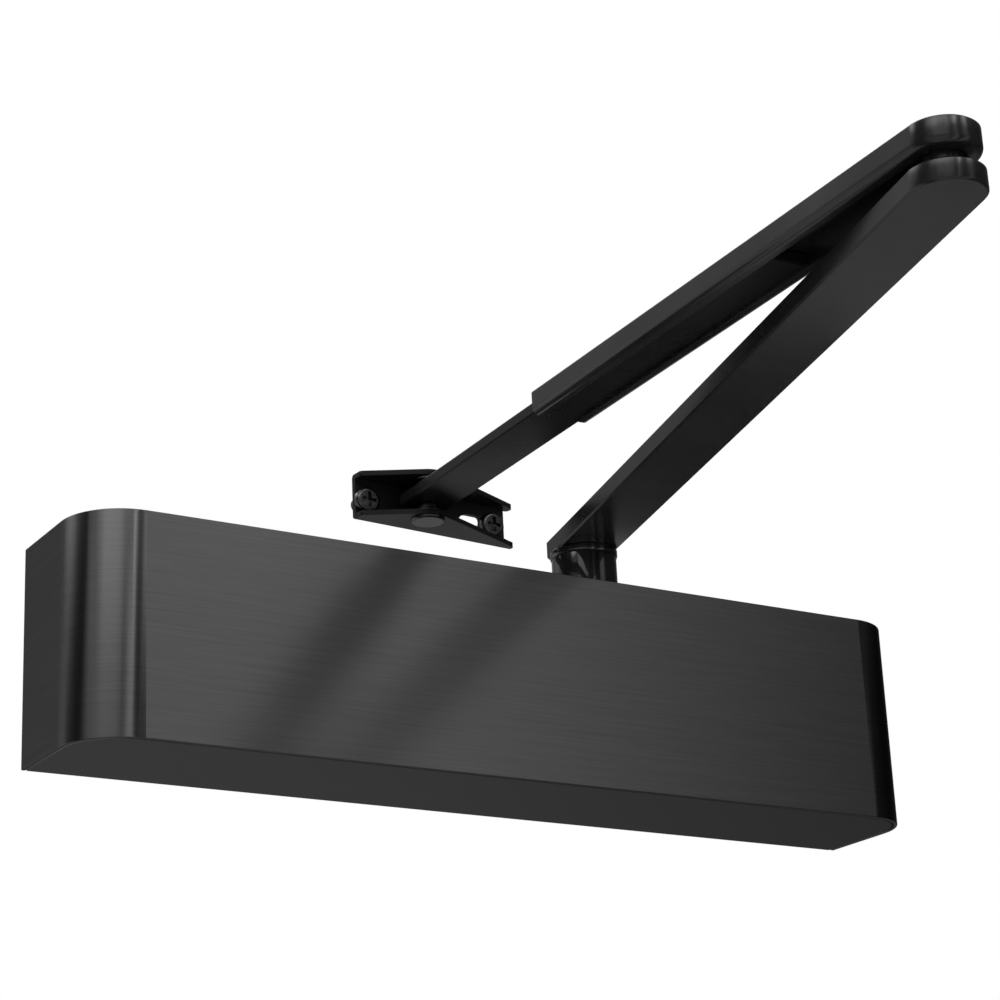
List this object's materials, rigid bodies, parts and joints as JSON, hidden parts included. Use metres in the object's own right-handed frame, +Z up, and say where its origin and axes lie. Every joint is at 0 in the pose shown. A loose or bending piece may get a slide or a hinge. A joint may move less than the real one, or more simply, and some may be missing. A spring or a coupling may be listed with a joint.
{
  "type": "door closer",
  "caption": "Overhead door closer: a rack-and-pinion hydraulic body under a slide-on cover, with a folding adjustable arm and a frame bracket.",
  "frame": {"origin": "centre of the mounting plate's back face, on the door face", "axes": "+Y into the door, +X to the right along the cover, +Z up along the spindle"},
  "size_m": [0.285, 0.2807, 0.1033],
  "materials": {
    "cover_black": "black, fine horizontal brushing",
    "arm_black": "satin black",
    "fixing_black": "blackened",
    "cast_aluminium": "cast, lightly blasted",
    "plate_zinc": "zinc plated",
    "bright_steel": "ground",
    "spring_steel": "blued",
    "seal_rubber": "matt",
    "ring_polymer": "matt",
    "valve_brass": "turned"
  },
  "bodies": {
    "root": {"mounting_plate": "plate_zinc", "housing": "cast_aluminium", "spring_end_cap": "cast_aluminium", "valve_end_cap": "cast_aluminium", "end_cap_seals": "seal_rubber", "pinion_bearing_top": "bright_steel", "pinion_bearing_bottom": "bright_steel", "gland_nut": "cast_aluminium", "shaft_seal": "seal_rubber", "bottom_plug": "cast_aluminium", "housing_screws": "bright_steel", "cover_clips": "spring_steel", "clip_rivets": "plate_zinc", "main_spring": "spring_steel"},
    "cover": {"cover_front": "cover_black", "cover_top_tray": "cover_black", "cover_bottom_tray": "cover_black"},
    "main_arm": {"pinion_shaft": "bright_steel", "arm_hub": "arm_black", "hub_ring": "arm_black", "main_arm": "arm_black", "arm_washer": "fixing_black", "arm_screw": "fixing_black", "elbow_pin": "arm_black"},
    "piston": {"rack_piston": "bright_steel", "piston_ring": "ring_polymer", "check_valve": "valve_brass"},
    "spring_seat": {"spring_seat": "bright_steel"},
    "spring_adjuster": {"spring_adjuster": "bright_steel"},
    "forearm": {"forearm_channel": "arm_black", "elbow_washer": "fixing_black"},
    "slider": {"slider_bar": "arm_black"},
    "lock_screw": {"lock_screw": "fixing_black"},
    "frame_bracket": {"frame_bracket": "arm_black", "bracket_screws": "fixing_black", "pivot_rivet": "fixing_black", "pivot_washers": "fixing_black"},
    "closing_speed_valve": {"closing_speed_valve": "valve_brass", "closing_speed_valve_ring": "seal_rubber"},
    "latch_speed_valve": {"latch_speed_valve": "valve_brass", "latch_speed_valve_ring": "seal_rubber"},
    "backcheck_valve": {"backcheck_valve": "valve_brass", "backcheck_valve_ring": "seal_rubber"}
  },
  "joints": [
    {"name": "spindle_turn", "type": "hinge", "parent": "root", "child": "main_arm", "pos_m": [0.03573, -0.021, 0], "axis": [0, 0, 1], "range_deg": [-180, 0], "stiffness_Nm_per_rad": 3, "springref_deg": 143.24},
    {"name": "elbow", "type": "hinge", "parent": "main_arm", "child": "forearm", "pos_m": [-0.02446, -0.26602, 0.0596], "axis": [0, 0, 1], "range_deg": [0, 165]},
    {"name": "forearm_slide", "type": "slide", "parent": "forearm", "child": "slider", "axis": [0.033, 0.9995, 0], "range_m": [-0.025, 0.025]},
    {"name": "lock_screw_turn", "type": "hinge", "parent": "slider", "child": "lock_screw", "pos_m": [-0.01983, -0.12609, 0.066], "axis": [0, 0, 1], "range_deg": [0, 360]},
    {"name": "bracket_turn", "type": "hinge", "parent": "slider", "child": "frame_bracket", "pos_m": [-0.0161, -0.01326, 0.0625], "axis": [0, 0, 1], "range_deg": [-75, 75]},
    {"name": "cover_slide", "type": "slide", "parent": "root", "child": "cover", "axis": [0, -1, 0], "range_m": [0, 0.06]},
    {"name": "spring_adjuster_turn", "type": "hinge", "parent": "root", "child": "spring_adjuster", "pos_m": [-0.116, -0.021, 0], "axis": [1, 0, 0], "range_deg": [0, 1800]},
    {"name": "spring_seat_slide", "type": "slide", "parent": "root", "child": "spring_seat", "axis": [1, 0, 0], "range_m": [0, 0.0101], "deforming": ["main_spring"]},
    {"name": "piston_slide", "type": "slide", "parent": "root", "child": "piston", "axis": [1, 0, 0], "range_m": [-0.0284, 0], "deforming": ["main_spring"]},
    {"name": "closing_speed_valve_turn", "type": "hinge", "parent": "root", "child": "closing_speed_valve", "pos_m": [0.1, -0.031, 0.0205], "axis": [1, 0, 0], "range_deg": [-360, 360]},
    {"name": "latch_speed_valve_turn", "type": "hinge", "parent": "root", "child": "latch_speed_valve", "pos_m": [0.1, -0.031, -0.0205], "axis": [1, 0, 0], "range_deg": [-360, 360]},
    {"name": "backcheck_valve_turn", "type": "hinge", "parent": "root", "child": "backcheck_valve", "pos_m": [0.1, -0.012, 0.0205], "axis": [1, 0, 0], "range_deg": [-360, 360]}
  ],
  "couplings": [
    {"joint": "piston_slide", "follows": "spindle_turn", "m_per_rad": 0.009},
    {"joint": "spring_seat_slide", "follows": "spring_adjuster_turn", "m_per_rad": 0.00031831}
  ]
}
